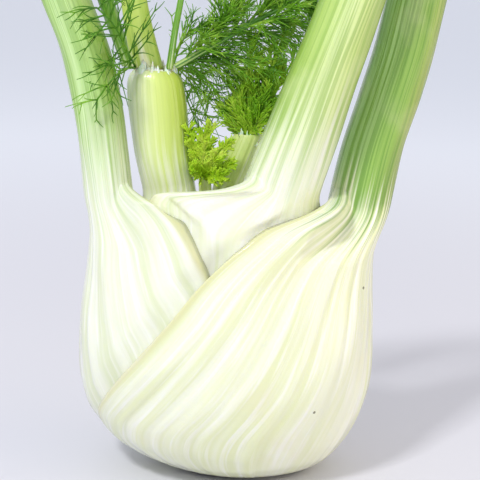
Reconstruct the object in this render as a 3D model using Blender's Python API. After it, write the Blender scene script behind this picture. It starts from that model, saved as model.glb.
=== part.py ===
"""A fennel bulb, trimmed for sale and standing on the cut face of its stem plate.

The bulb is a nest of leaf bases. Each leaf is one grown piece: a thick sheath that wraps round
everything younger than itself, drawn out above the shoulder into a round stalk. The leaves come
alternately from the right and from the left. Metres, +Z up, the front of the bulb faces -Y, and the
origin is the middle of the trimmed face underneath.
"""

import math

import bpy
import numpy as np

MM = 0.001

# ---- driving dimensions, in millimetres and degrees; pairs are (height, value) ----
# The bulb is flattened: DEPTH_SHARE is its depth against its width.
BULB_HALF_WIDTH = [(0, 19), (2, 26.5), (6, 34.8), (12, 42), (20, 47.2), (30, 50.6), (42, 52),
                   (55, 51.6), (70, 50.2), (82, 50), (100, 52.5), (112, 54)]
BULB_CENTRE = [(0, 0), (6, -3), (12, -5.2), (20, -6.2), (40, -6.8), (60, -6.9), (75, -6.4),
               (100, -4.5), (112, -4)]
DEPTH_SHARE = [(0, 0.72), (25, 0.72), (50, 0.71), (70, 0.665), (85, 0.59), (98, 0.50), (112, 0.44)]
LEAF_GAP = 0.040          # clear space between two sheaths, as a share of the half width
RIB_SIDE = 0.20           # how much thicker a sheath is along its midrib, same share
MARGIN = 0.035            # thickness of a sheath's free margin, same share
MARGIN_FADE = (7, 26)     # degrees past a margin over which the next sheath swells out again
INNER_SLACK = 0.011       # a little more space for each younger sheath, same share
STALK_TOP = 186           # height of the trimmed stalks
PLATE_HALF_WIDTH = 18     # the trimmed face
PLATE_HEIGHT = 6
OUTER_TURN = math.radians(104)   # the sheath's outer face goes this far round the stalk, each way
INNER_TURN = math.radians(108)   # and its inner face takes the rest

# A leaf: the side it grows on, the height where its sheath starts, how far its two margins reach
# round from the midrib at each height, where sheath turns to stalk, and the stalk's middle line
# with its half width and half depth at each height.
LEAVES = {
    "outer_right_leaf": dict(
        side=1, foot=1.5, arc_points=19,
        front=[(0, 169), (10, 167), (20, 160), (30, 145), (43, 129), (59, 113), (75, 99), (85, 87),
               (92, 76), (96, 65), (99, 58), (106, 55)],
        back=[(0, 150), (30, 140), (60, 112), (80, 92), (98, 66), (106, 58)],
        turn=(82, 100), front_turn=(94, 103.5),
        stalk=[(84, 36.0, 5), (98, 38.2, 6), (115, 41.4, 7), (133, 46.3, 8), (151, 51.0, 9),
               (167, 54.1, 10), (190, 58.5, 11)],
        thick=[(98, 11.4, 9.0), (133, 11.0, 8.6), (190, 10.4, 8.2)], top=STALK_TOP,
        colour="#DDEBB4"),
    "outer_left_leaf": dict(
        side=-1, foot=2.5, arc_points=17,
        front=[(0, 140), (20, 130), (50, 105), (75, 81), (83, 75.5), (88, 70), (93, 62), (98, 51),
               (106, 46)],
        back=[(0, 150), (40, 125), (75, 95), (95, 62), (106, 50)],
        turn=(82, 101), front_turn=(91, 104),
        stalk=[(82, -46.0, -5), (95, -48.1, -5), (112, -50.4, -5), (130, -53.0, -5),
               (146, -56.8, -5), (163, -63.4, -5), (190, -73.5, -5)],
        thick=[(95, 8.6, 7.4), (130, 8.6, 7.2), (190, 8.4, 6.8)], top=STALK_TOP - 2,
        colour="#D8E9B0"),
    "inner_right_leaf": dict(
        side=1, foot=7.5, arc_points=17,
        front=[(0, 140), (40, 138), (80, 131), (94, 128), (98.5, 125), (100.5, 119), (101.8, 110),
               (103, 100), (105, 94), (108, 90)],
        back=[(0, 140), (60, 110), (95, 70), (106, 60)],
        turn=(78, 103), front_turn=(100, 109),
        stalk=[(78, 5.0, -4), (97, 8.5, -6), (114, 13.5, -7.5), (133, 19.5, -8.5), (151, 25.5, -9),
               (166, 30.5, -9), (190, 38.0, -9)],
        thick=[(97, 14.4, 11.5), (114, 13.6, 11.5), (133, 12.6, 11.3), (151, 11.7, 11),
               (190, 10.8, 10.2)], top=STALK_TOP - 1,
        colour="#E6F1C6"),
    "inner_left_leaf": dict(
        side=-1, foot=8.5, arc_points=16,
        front=[(0, 130), (60, 105), (95, 60), (106, 50)],
        back=[(0, 130), (60, 105), (95, 60), (106, 50)],
        turn=(76, 100), front_turn=(80, 102),
        stalk=[(76, -23.0, 3), (99, -28.4, 4), (112, -31.2, 4), (122, -32.4, 4), (135, -33.8, 4),
               (142, -34.6, 4)],
        thick=[(99, 9.4, 7.6), (122, 10.4, 8.2), (132, 10.2, 7.9), (136, 9.7, 7.4), (140, 8.2, 6.4)],
        top=140,
        colour="#E3EEBE"),
    "heart_right_leaf": dict(
        side=1, foot=9.5, arc_points=16,
        front=[(0, 125), (60, 105), (95, 60), (106, 50)],
        back=[(0, 125), (60, 105), (95, 60), (106, 50)],
        turn=(72, 96), front_turn=(74, 98),
        stalk=[(72, -6.0, 7), (98, -9.0, 10), (109, -5.2, 11.5), (119, -1.4, 13)],
        thick=[(98, 5.2, 4.2), (109, 5.6, 4.2), (119, 5.2, 4.0)], top=118,
        colour="#D5E68C"),
}

# The youngest leaf, folded in the middle, still solid.
HEART = dict(foot=10.5, turn=(60, 94), top=106, foot_points=32,
             stalk=[(60, -10.0, 2), (94, -15.5, 3), (106, -16.8, 4)],
             thick=[(94, 2.6, 2.2), (106, 2.0, 1.8)], colour="#BFD96A")

# Leaf stems that spring from the cut and torn collar of the inner left stalk: points (x, y, z),
# then half width and half depth at the start and at the end.
BLADE_STEMS = {
    "strap_stem": dict(path=[(-37, 3.4, 140.9), (-39.5, 2.6, 151), (-42, 2, 164), (-44, 1.6, 184)],
                       start=(5.4, 2.6), end=(3.4, 1.8), colour="#CFE07A"),
    "left_side_stem": dict(path=[(-44.0, 7.0, 140.9), (-47.5, 9.0, 150), (-52.5, 11, 163),
                                 (-58, 12, 180)],
                           start=(2.2, 1.8), end=(3.4, 2.0), colour="#7FB03A"),
    "front_side_stem": dict(path=[(-29.4, 1.0, 140.9), (-27.6, -1.5, 154), (-25.8, -4, 164),
                                  (-23.5, -6, 182)],
                            start=(1.2, 1.2), end=(0.9, 0.9), colour="#7DB239"),
    "right_side_stem": dict(path=[(-28.4, 7.6, 140.9), (-14, 11.5, 149.6), (-2.4, 14, 156.7),
                                  (10.8, 16, 163.8), (26, 18, 171)],
                            start=(2.4, 1.6), end=(1.6, 1.2), colour="#5E9A2B"),
}

# Feathery leaf clusters, each held here by one plain closed solid: middle and half sizes.
FRONDS = {
    "left_feathery_leaf": dict(middle=(-50.5, -19, 146), half=(12, 4.5, 21), tilt=10),
    "middle_feathery_leaf": dict(middle=(-16, 14, 133), half=(8, 5, 11), tilt=0),
    "right_feathery_leaf": dict(middle=(3.5, 22, 135), half=(12, 6.5, 17), tilt=14),
    "young_feathery_leaf": dict(middle=(-14.5, -1.8, 113.5), half=(5.6, 5.0, 6.4), tilt=0),
}
FROND_COLOUR = "#7FB51C"

# ---- small helpers ----


def clear_scene():
    for thing in list(bpy.data.objects):
        bpy.data.objects.remove(thing, do_unlink=True)


def linear(hex_colour):
    """An sRGB hex colour as linear red, green, blue and alpha."""
    parts = [int(hex_colour[i:i + 2], 16) / 255 for i in (1, 3, 5)]
    return [c / 12.92 if c <= 0.04045 else ((c + 0.055) / 1.055) ** 2.4 for c in parts] + [1.0]


def make_material(name, hex_colour, roughness):
    material = bpy.data.materials.new(name)
    material.use_nodes = True
    shader = material.node_tree.nodes["Principled BSDF"]
    shader.inputs["Base Color"].default_value = linear(hex_colour)
    shader.inputs["Roughness"].default_value = roughness
    shader.inputs["Metallic"].default_value = 0.0
    return material


def smooth_step(low, high, x):
    """0 below low, 1 above high, with an S-shaped rise between."""
    t = np.clip((x - low) / (high - low), 0, 1)
    return t * t * (3 - 2 * t)


def follow(points, x, column=1):
    """A smooth curve through the points (key, value, ...): cubic pieces with limited slopes."""
    table = np.array(points, float)
    keys, values = table[:, 0], table[:, column]
    slopes = np.gradient(values, keys)
    x = np.clip(np.asarray(x, float), keys[0], keys[-1])
    i = np.clip(np.searchsorted(keys, x) - 1, 0, len(keys) - 2)
    span = keys[i + 1] - keys[i]
    t = (x - keys[i]) / span
    rise = values[i + 1] - values[i]
    s0, s1 = slopes[i] * span, slopes[i + 1] * span
    return values[i] + s0 * t + (3 * rise - 2 * s0 - s1) * t**2 + (s0 + s1 - 2 * rise) * t**3


def ellipse_points(angle, share, z):
    """Points on the bulb's outline at heights z, shrunk to a share of its half width and depth."""
    half = follow(BULB_HALF_WIDTH, z)
    x = follow(BULB_CENTRE, z) + share * half * np.cos(angle)
    y = share * half * follow(DEPTH_SHARE, z) * np.sin(angle)
    return np.stack([x, y, z + 0 * x], axis=-1)


# ---- the nest of sheaths ----


def reach_towards_front(angle, side):
    """How many degrees an angle about the bulb lies from a leaf's midrib, the front being positive."""
    degrees = np.degrees(angle) - (0 if side > 0 else 180)
    degrees = (degrees + 180) % 360 - 180
    return -degrees if side > 0 else degrees


def sheath_thickness(degrees):
    """Thickest on the midrib, thin on the margins."""
    return MARGIN + RIB_SIDE * ((1 + np.cos(np.radians(degrees))) / 2) ** 1.3


def outer_share(number, angle, z):
    """How far out the sheath with this number lies: the outline less every older sheath over it."""
    share = np.ones(np.broadcast(angle, z).shape) - INNER_SLACK * number
    for leaf in list(LEAVES.values())[:number]:
        degrees = reach_towards_front(angle, leaf["side"])
        front, back = follow(leaf["front"], z), follow(leaf["back"], z)
        past = np.minimum((degrees - front) % 360, (-degrees - back) % 360)
        inside = (degrees <= front) & (-degrees <= back)
        cover = np.where(inside, 1, 1 - smooth_step(*MARGIN_FADE, past))
        share = share - (sheath_thickness(degrees) + LEAF_GAP) * cover
    return share


def stalk_points(leaf, turn, z):
    """Points round the stalk's own outline: turn 0 is its outer side, positive is its front."""
    direction = math.copysign(1, leaf.get("side", 1))
    x = follow(leaf["stalk"], z) + direction * follow(leaf["thick"], z) * np.cos(turn)
    y = follow(leaf["stalk"], z, 2) - follow(leaf["thick"], z, 2) * np.sin(turn)
    return np.stack([x, y, z + 0 * x], axis=-1)


def heights(leaf):
    """The heights of the loops: close together at the foot and at the shoulder."""
    low, shoulder = leaf["foot"], leaf["turn"][0]
    return np.concatenate([
        low + (shoulder - low) * np.linspace(0, 1, 13) ** 1.35,
        np.linspace(shoulder, 108, 9)[1:],
        np.linspace(108, leaf["top"], max(2, round((leaf["top"] - 108) / 13)))[1:]])


def leaf_loops(number, leaf):
    """One closed loop for each height: out along the outer face and back along the inner one."""
    z = heights(leaf)[:, None]
    across = np.linspace(-1, 1, leaf["arc_points"])[None, :]
    reach = np.where(across > 0, across * follow(leaf["front"], z), across * follow(leaf["back"], z))
    middle = 0 if leaf["side"] > 0 else math.pi
    angle = middle - leaf["side"] * np.radians(reach)
    share = outer_share(number, angle, z)
    outer = ellipse_points(angle, share, z)
    inner = ellipse_points(angle, share - sheath_thickness(reach), z)
    early, late = leaf["turn"], leaf["front_turn"]
    edge = smooth_step(0.25, 0.8, across)
    turned = smooth_step(early[0] + (late[0] - early[0]) * edge,
                         early[1] + (late[1] - early[1]) * edge, z)[..., None]
    outer = outer + turned * (stalk_points(leaf, across * OUTER_TURN, z) - outer)
    back_turn = math.pi - across * (math.pi - INNER_TURN)
    inner = inner + turned * (stalk_points(leaf, back_turn, z) - inner)
    return outer, inner


def heart_loops():
    """The folded youngest leaf: full loops that taper from the nest's middle into a thin stem."""
    z = np.concatenate([np.linspace(HEART["foot"], 94, 13), [98, 102, HEART["top"]]])[:, None]
    half_turn = np.linspace(-math.pi / 2, math.pi / 2, HEART["foot_points"] // 2)[None, :]
    turned = smooth_step(*HEART["turn"], z)[..., None]
    sides = []
    for turn in (half_turn, math.pi - half_turn):
        nest = ellipse_points(-turn, outer_share(len(LEAVES), -turn, z), z)
        nest = nest + 0.05 * np.cos(turn)[..., None] * np.array([1, 0, 0])
        sides.append(nest + turned * (stalk_points(HEART, turn, z) - nest))
    gap = 0.06 * np.array([1, 0, 0])
    return sides[0] + gap, sides[1] - gap


# ---- meshes ----


def add_object(name, points, faces, hex_colour, roughness=0.45):
    """A smooth-shaded mesh object from points in millimetres."""
    mesh = bpy.data.meshes.new(name)
    mesh.from_pydata((np.asarray(points).reshape(-1, 3) * MM).tolist(), [], faces)
    mesh.validate()
    mesh.update()
    thing = bpy.data.objects.new(name, mesh)
    bpy.context.scene.collection.objects.link(thing)
    mesh.materials.append(make_material(name + "_material", hex_colour, roughness))
    mesh.shade_smooth()
    mesh.set_sharp_from_angle(angle=math.radians(50))
    return thing


def loop_faces(rows, columns):
    """Quads between stacked closed loops, with both ends closed by strips across the loop."""
    half = columns // 2
    faces = []
    for r in range(rows - 1):
        for c in range(columns):
            nxt = (c + 1) % columns
            faces.append((r * columns + c, r * columns + nxt, (r + 1) * columns + nxt,
                          (r + 1) * columns + c))
    top = (rows - 1) * columns
    for c in range(half - 1):
        mirror = columns - 1 - c
        faces.append((mirror, mirror - 1, c + 1, c))
        faces.append((top + c, top + c + 1, top + mirror - 1, top + mirror))
    return faces


def add_two_sided(name, outer, inner, hex_colour, clockwise):
    """A closed solid from the outer and the inner face of each loop."""
    loops = np.concatenate([outer, inner[:, ::-1]], axis=1)
    faces = loop_faces(*loops.shape[:2])
    if clockwise:
        faces = [face[::-1] for face in faces]
    return add_object(name, loops, faces, hex_colour)


def stem_plate():
    """The flat stem plate that every leaf grows from, cut across underneath."""
    sides = 40
    turn = np.linspace(0, 2 * math.pi, sides, endpoint=False)[None, :]
    z = np.array([0, 0.4, 1.2, 3.0, 4.8, PLATE_HEIGHT])[:, None]
    size = np.array([0.965, 1, 0.985, 0.93, 0.84, 0.70])[:, None]
    x = PLATE_HALF_WIDTH * size * np.cos(turn)
    y = PLATE_HALF_WIDTH * follow(DEPTH_SHARE, z) * size * np.sin(turn)
    loops = np.stack([x, y, z + 0 * x], axis=-1)
    rows = len(z)
    faces = [(r * sides + c, r * sides + (c + 1) % sides, (r + 1) * sides + (c + 1) % sides,
              (r + 1) * sides + c) for r in range(rows - 1) for c in range(sides)]
    faces.append(tuple(range(sides))[::-1])
    faces.append(tuple((rows - 1) * sides + c for c in range(sides)))
    return add_object("trimmed_stem_plate", loops, faces, "#E2D9AE", 0.6)


def blade_stem(name, stem):
    """A leaf stem: an oval outline carried along a smooth path, level at both ends."""
    path = np.array(stem["path"], float)
    z = np.linspace(path[0, 2], path[-1, 2], 9)
    columns = 10
    turn = np.linspace(0, 2 * math.pi, columns, endpoint=False)
    route = [(p[2], p[0], p[1]) for p in path]
    along = np.linspace(0, 1, len(z))
    half = stem["start"][0] + (stem["end"][0] - stem["start"][0]) * along
    deep = stem["start"][1] + (stem["end"][1] - stem["start"][1]) * along
    x = follow(route, z)[:, None] + half[:, None] * np.cos(turn)
    y = follow(route, z, 2)[:, None] + deep[:, None] * np.sin(turn)
    loops = np.stack([x, y, z[:, None] + 0 * x], axis=-1)
    return add_object(name, loops, loop_faces(len(z), columns), stem["colour"])


def feathery_leaf(name, frond):
    """An egg-shaped solid of the size that a feathery leaf fills."""
    rings, columns = 8, 12
    polar = np.linspace(0, math.pi, rings + 1)[1:-1][:, None]
    turn = np.linspace(0, 2 * math.pi, columns, endpoint=False)[None, :]
    ball = np.stack([np.sin(polar) * np.cos(turn), np.sin(polar) * np.sin(turn),
                     -np.cos(polar) + 0 * turn], axis=-1).reshape(-1, 3)
    ball = np.concatenate([ball, [[0, 0, -1], [0, 0, 1]]]) * np.array(frond["half"])
    lean = math.radians(frond["tilt"])
    x = ball[:, 0] * math.cos(lean) + ball[:, 2] * math.sin(lean)
    z = -ball[:, 0] * math.sin(lean) + ball[:, 2] * math.cos(lean)
    points = np.stack([x, ball[:, 1], z], axis=-1) + np.array(frond["middle"])
    rows = rings - 1
    faces = [(r * columns + c, r * columns + (c + 1) % columns, (r + 1) * columns + (c + 1) % columns,
              (r + 1) * columns + c) for r in range(rows - 1) for c in range(columns)]
    low, high = rows * columns, rows * columns + 1
    for c in range(columns):
        after = (c + 1) % columns
        faces.append((low, after, c))
        faces.append((high, (rows - 1) * columns + c, (rows - 1) * columns + after))
    return add_object(name, points, faces, FROND_COLOUR, 0.6)


# ---- the fennel ----

clear_scene()
stem_plate()
for number, (leaf_name, leaf) in enumerate(LEAVES.items()):
    outer_face, inner_face = leaf_loops(number, leaf)
    add_two_sided(leaf_name, outer_face, inner_face, leaf["colour"], clockwise=leaf["side"] > 0)
add_two_sided("youngest_leaf", *heart_loops(), HEART["colour"], clockwise=True)
for stem_name, stem in BLADE_STEMS.items():
    blade_stem(stem_name, stem)
for frond_name, frond in FRONDS.items():
    feathery_leaf(frond_name, frond)
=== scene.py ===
# %% [markdown]
# # A fennel bulb
# Fennel is sold as a nest of swollen leaf bases on a short cut stem. Every leaf is one grown piece: a
# pale ribbed sheath below, a green striped stalk above, and thread-fine leaves at the very end. This
# lesson loads the measured model as a fixed frame, then grows each leaf again as a fine numpy surface.

# %% Load the frame
import math

import bpy
import numpy as np
from mathutils import Matrix, Vector


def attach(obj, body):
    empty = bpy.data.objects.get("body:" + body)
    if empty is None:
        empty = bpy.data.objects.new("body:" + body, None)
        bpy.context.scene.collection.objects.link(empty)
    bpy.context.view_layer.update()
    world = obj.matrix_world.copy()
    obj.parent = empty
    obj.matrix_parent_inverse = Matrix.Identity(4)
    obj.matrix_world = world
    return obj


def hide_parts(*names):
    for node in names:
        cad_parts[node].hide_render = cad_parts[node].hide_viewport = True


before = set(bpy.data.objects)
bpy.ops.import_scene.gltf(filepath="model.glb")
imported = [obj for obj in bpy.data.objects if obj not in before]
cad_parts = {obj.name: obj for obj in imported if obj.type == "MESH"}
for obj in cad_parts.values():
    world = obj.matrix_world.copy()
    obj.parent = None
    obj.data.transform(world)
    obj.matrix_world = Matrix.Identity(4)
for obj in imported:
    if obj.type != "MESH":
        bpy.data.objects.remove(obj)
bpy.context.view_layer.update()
MM = 0.001  # metres in a millimetre
TINY = 1e-9  # keeps a division by a length away from zero

# %% [markdown]
# ## Curves from a few points
# A grown outline has no exact formula, so it is given by a few (height, value) pairs with a smooth cubic
# curve between them. An S-shaped step is the other tool: it turns one shape slowly into the next.

# %% Smooth curves and steps


def smooth_step(low, high, x):
    """0 below low, 1 above high, and 3t^2 - 2t^3 between them."""
    t = np.clip((x - low) / (high - low), 0, 1)
    return t * t * (3 - 2 * t)


def follow(points, x, column=1):
    """Cubic Hermite curve through rows of (key, value, ...), with the mean slope at each point."""
    table = np.array(points, float)
    keys, values = table[:, 0], table[:, column]
    slopes = np.gradient(values, keys)
    x = np.clip(np.asarray(x, float), keys[0], keys[-1])
    i = np.clip(np.searchsorted(keys, x) - 1, 0, len(keys) - 2)
    span = keys[i + 1] - keys[i]
    t = (x - keys[i]) / span
    rise = values[i + 1] - values[i]
    s0, s1 = slopes[i] * span, slopes[i + 1] * span
    return values[i] + s0 * t + (3 * rise - 2 * s0 - s1) * t**2 + (s0 + s1 - 2 * rise) * t**3


def unit(vectors):
    """Each vector divided by its own length."""
    return vectors / np.maximum(np.linalg.norm(vectors, axis=-1, keepdims=True), TINY)


def waves(x, counts, seed):
    """A sum of sine waves of equal weight: counts are waves per unit of x, phases come from the seed."""
    phases = np.random.default_rng(seed).uniform(0, 2 * math.pi, len(counts))
    total = sum(np.sin(2 * math.pi * count * x + phase) for count, phase in zip(counts, phases))
    return total / len(counts)


print("half way up an S-shaped step:", smooth_step(0, 1, 0.5))

# %% [markdown]
# ## The bulb's outline
# All sheaths share one outline, an oval whose half width, middle and flatness change with height. A few
# heights in millimetres are enough, because a bulb swells smoothly and has no corners to catch.

# %% Outline of the bulb
BULB_HALF_WIDTH = [(0, 19), (2, 26.5), (6, 34.8), (12, 42), (20, 47.2), (30, 50.6), (42, 52),
                   (55, 51.6), (70, 50.2), (82, 50), (100, 52.5), (112, 54)]
BULB_CENTRE = [(0, 0), (6, -3), (12, -5.2), (20, -6.2), (40, -6.8), (60, -6.9), (75, -6.4),
               (100, -4.5), (112, -4)]
DEPTH_SHARE = [(0, 0.72), (25, 0.72), (50, 0.71), (70, 0.665), (85, 0.59), (98, 0.50), (112, 0.44)]
SHEATH_GAP = 0.008  # clear space between two sheaths, as a share of the half width
RIB_SIDE = 0.20  # how much thicker a sheath is along its midrib
MARGIN = 0.017  # thickness of a free margin
MARGIN_FADE = (1.5, 15) # degrees past a margin over which the next sheath swells out


def outline(angle, share, z):
    """A point on the oval at height z: middle + share * (half width * cos, half depth * sin)."""
    half = follow(BULB_HALF_WIDTH, z)
    x = follow(BULB_CENTRE, z) + share * half * np.cos(angle)
    y = share * half * follow(DEPTH_SHARE, z) * np.sin(angle)
    return np.stack([x, y, z + 0 * x], axis=-1)


print("bulb width at 42 mm:", 2 * float(follow(BULB_HALF_WIDTH, 42)), "mm")

# %% [markdown]
# ## The leaves
# Fennel leaves stand in two rows, left and right by turns, each wrapped round all younger ones. A leaf
# needs its side, how far its two margins reach round the bulb at each height, the heights where sheath
# turns into stalk, and the stalk's middle line and thickness.

# %% The five nested leaves
EVEN_MARGINS = [(0, 130), (60, 105), (95, 60), (106, 50)]  # both margins of a hidden leaf
LEAVES = {
    "outer_right_leaf": dict(
        side=1, foot=1.5, columns=150, rows=230,
        front=[(0, 169), (10, 167), (20, 160), (30, 145), (43, 129), (59, 113), (75, 99), (85, 87),
               (92, 76), (96, 65), (99, 58), (106, 55)],
        back=[(0, 150), (30, 140), (60, 112), (80, 92), (98, 66), (106, 58)],
        turn=(79, 97), front_turn=(97.5, 102), edge=(0.66, 0.84), valley=1.8, lip=(84, 103),
        stalk=[(84, 36.0, 5), (98, 38.2, 6), (115, 41.4, 7), (133, 46.3, 8), (151, 51.0, 9),
               (167, 54.1, 10), (190, 58.5, 11)],
        thick=[(98, 11.4, 9.0), (133, 11.0, 8.6), (190, 10.4, 8.2)], top=186, veins=46, seed=3),
    "outer_left_leaf": dict(
        side=-1, foot=2.5, columns=120, rows=210,
        front=[(0, 140), (20, 130), (50, 105), (75, 81), (83, 76), (88, 72), (93, 67), (97, 61),
               (101, 54), (106, 50)],
        back=[(0, 150), (40, 125), (75, 95), (95, 62), (106, 50)],
        turn=(81, 99), front_turn=(98, 103), edge=(0.66, 0.86), valley=1.6, lip=(86, 103),
        stalk=[(82, -46.0, -5), (95, -48.1, -5), (112, -50.4, -5), (130, -53.0, -5),
               (146, -56.8, -5), (163, -63.4, -5), (190, -73.5, -5)],
        thick=[(95, 8.6, 7.4), (130, 8.6, 7.2), (190, 8.4, 6.8)], top=184, veins=34, seed=5),
    "inner_right_leaf": dict(
        side=1, foot=7.5, columns=120, rows=210,
        front=[(0, 140), (40, 138), (80, 134), (94, 134), (99, 133), (101, 128), (102.2, 118),
               (103.2, 106), (105, 96), (108, 90)],
        back=[(0, 140), (60, 110), (95, 70), (106, 60)],
        turn=(76, 101), front_turn=(100, 109), edge=(0.45, 0.95), valley=0, lip=(94, 108),
        stalk=[(78, 5.0, -4), (97, 8.5, -6), (114, 13.5, -7.5), (133, 19.5, -8.5), (151, 25.5, -9),
               (166, 30.5, -9), (190, 38.0, -9)],
        thick=[(97, 14.4, 11.5), (114, 13.6, 11.5), (133, 12.6, 11.3), (151, 11.7, 11),
               (190, 10.8, 10.2)], top=185, veins=40, seed=7),
    "inner_left_leaf": dict(
        side=-1, foot=8.5, columns=90, rows=150,
        front=EVEN_MARGINS, back=EVEN_MARGINS,
        turn=(76, 100), front_turn=(80, 102), edge=(0.25, 0.8), valley=0, lip=(76, 102),
        stalk=[(76, -23.0, 3), (99, -28.4, 4), (112, -31.2, 4), (122, -32.4, 4), (135, -33.8, 4),
               (142, -34.6, 4)],
        thick=[(99, 9.6, 7.6), (122, 10.4, 8.2), (132, 10.2, 7.9), (136, 9.7, 7.4), (138.5, 8.7, 6.7),
               (140, 7.2, 5.6), (142, 6.6, 5.2)], top=140, veins=30, seed=11),
    "heart_right_leaf": dict(
        side=1, foot=9.5, columns=70, rows=110,
        front=[(0, 125), (60, 105), (95, 60), (106, 50)],
        back=[(0, 125), (60, 105), (95, 60), (106, 50)],
        turn=(72, 96), front_turn=(74, 98), edge=(0.25, 0.8), valley=0, lip=(72, 98),
        stalk=[(72, -6.0, 7), (98, -9.0, 10), (109, -5.2, 11.5), (119, -1.4, 13)],
        thick=[(98, 5.2, 4.2), (109, 5.6, 4.2), (119, 5.2, 4.0)], top=118, veins=16, seed=13),
}
HEART = dict(side=1, foot=10.5, top=106, turn=(60, 94), lip=(60, 94), columns=48, rows=90,
             veins=12, seed=17,
             stalk=[(60, -10.0, 2), (94, -15.5, 3), (106, -16.8, 4)],
             thick=[(94, 2.6, 2.2), (106, 2.0, 1.8)])
print("leaves:", ", ".join(LEAVES))

# %% [markdown]
# ## Nesting the sheaths
# Each sheath lies just inside every older one that covers it, and swells out to the bulb's outline where
# it is free. So its share of the outline is 1, less the thickness of each older sheath at that angle.

# %% How far out a sheath lies


def reach_towards_front(angle, side):
    """Degrees from a leaf's midrib, wrapped to -180..180, the bulb's front counting as positive."""
    degrees = np.degrees(angle) - (0 if side > 0 else 180)
    degrees = (degrees + 180) % 360 - 180
    return -degrees if side > 0 else degrees


def sheath_thickness(degrees):
    """Margin + rib * ((1 + cos) / 2)^1.3: thick on the midrib, thin at both margins."""
    return MARGIN + RIB_SIDE * ((1 + np.cos(np.radians(degrees))) / 2) ** 1.3


def outer_share(number, angle, z):
    """1 less the thickness and gap of each older sheath, faded out past that sheath's margins."""
    share = np.ones(np.broadcast(angle, z).shape)
    for leaf in list(LEAVES.values())[:number]:
        degrees = reach_towards_front(angle, leaf["side"])
        front, back = follow(leaf["front"], z), follow(leaf["back"], z)
        past = np.minimum((degrees - front) % 360, (-degrees - back) % 360)
        inside = (degrees <= front) & (-degrees <= back)
        cover = np.where(inside, 1, 1 - smooth_step(*MARGIN_FADE, past))
        share = share - (sheath_thickness(degrees) + SHEATH_GAP) * cover
    return share


third_share = outer_share(2, np.array(-math.pi / 2), np.array(60.0))
print("third sheath's share at the front:", round(float(third_share), 3))

# %% [markdown]
# ## From sheath to stalk
# A stalk is nearly round, with a shallow groove on the side that faces the bulb. One closed loop runs out
# along the outer face and back along the inner one, so the same grid serves the thin wrap below and the
# round stalk above: between them each loop turns slowly from one shape into the other.

# %% One leaf as a grid of loops
OUTER_TURN = math.radians(150)  # how far round the stalk the outer face goes, each way
INNER_TURN = math.radians(153)  # where the inner face takes over
GROOVE_DEPTH = 0.05  # the stalk's groove, as a share of its half thickness
GROOVE_START = math.radians(140)  # where the groove begins, counted from the stalk's outer side
FINE_ROWS = 2000  # trial rows that the true rows are picked from
LIP_CROWDING, FOOT_CROWDING = 2.5, 2  # how many more rows stand there than elsewhere
LIP_EASE = 4  # mm over which the crowding at the lip fades
MARGIN_CROWDING = 0.18  # draws the columns closer together near the two margins
VALLEY_BAND = (70, 92)  # heights over which the dip beside the ear sets in
VALLEY_WIDTH, VALLEY_SHIFT = 0.07, 0.04  # its half width, and its place before the ear
INNER_LEAD = (6, 3)  # mm by which the inner face starts and ends its turn earlier


def stalk_outline(leaf, turn, z):
    """Oval about the stalk's middle line, drawn in by a twentieth where the groove is."""
    away = np.abs((turn + math.pi) % math.tau - math.pi)
    groove = 1 - GROOVE_DEPTH * smooth_step(GROOVE_START, math.pi, away)
    x = follow(leaf["stalk"], z) + leaf["side"] * groove * follow(leaf["thick"], z) * np.cos(turn)
    y = follow(leaf["stalk"], z, 2) - follow(leaf["thick"], z, 2) * np.sin(turn)
    return np.stack([x, y, z + 0 * x], axis=-1)


def leaf_heights(leaf):
    """Rows from foot to top, closer together at the foot and the lip, where the shape changes fast."""
    z = np.linspace(leaf["foot"], leaf["top"], FINE_ROWS)
    low, high = leaf["lip"]
    at_lip = smooth_step(low - LIP_EASE, low, z) * smooth_step(high + LIP_EASE, high, z)
    crowd = 1 + LIP_CROWDING * at_lip + FOOT_CROWDING * smooth_step(16, 4, z)
    total = np.cumsum(crowd)
    return np.interp(np.linspace(total[0], total[-1], leaf["rows"]), total, z)[:, None]


def leaf_faces(number, leaf):
    """(outer face, inner face, across) of a leaf, each a grid of points in millimetres."""
    z = leaf_heights(leaf)
    across = np.linspace(-1, 1, leaf["columns"])[None, :]
    across = across * (1 + MARGIN_CROWDING * (1 - across**2))
    reach = np.where(across > 0, across * follow(leaf["front"], z), across * follow(leaf["back"], z))
    angle = (0 if leaf["side"] > 0 else math.pi) - leaf["side"] * np.radians(reach)
    share = outer_share(number, angle, z)
    outer = outline(angle, share, z)
    inner = outline(angle, share - sheath_thickness(reach), z)
    edge = smooth_step(*leaf["edge"], across)
    valley = np.exp(-((across - leaf["edge"][0] + VALLEY_SHIFT) / VALLEY_WIDTH) ** 2)
    valley = valley * smooth_step(*VALLEY_BAND, z)
    low = leaf["turn"][0] + (leaf["front_turn"][0] - leaf["turn"][0]) * edge
    high = leaf["turn"][1] + (leaf["front_turn"][1] - leaf["turn"][1]) * edge
    turned = smooth_step(low, high, z)[..., None]
    outer = outer + turned * (stalk_outline(leaf, across * OUTER_TURN, z) - outer)
    outer[..., 1] += leaf["valley"] * valley * (1 - turned[..., 0])
    back_turn = math.pi - across * (math.pi - INNER_TURN)
    turned = smooth_step(low - INNER_LEAD[0], high - INNER_LEAD[1], z)[..., None]
    inner = inner + turned * (stalk_outline(leaf, back_turn, z) - inner)
    return outer, inner, across


outer, inner, across = leaf_faces(0, LEAVES["outer_right_leaf"])
print("outer right leaf grid:", outer.shape[:2], "rightmost point:", round(float(outer[..., 0].max()), 1))

# %% [markdown]
# ## Ribs
# Under the skin run strands that carry water. They stand up as fine ribs: close together on the stalk and
# fanned out over the sheath. Waves across the leaf make them, pushed out along the surface's own normal,
# so the ribs are real shape and not only a trick of the material.

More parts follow.
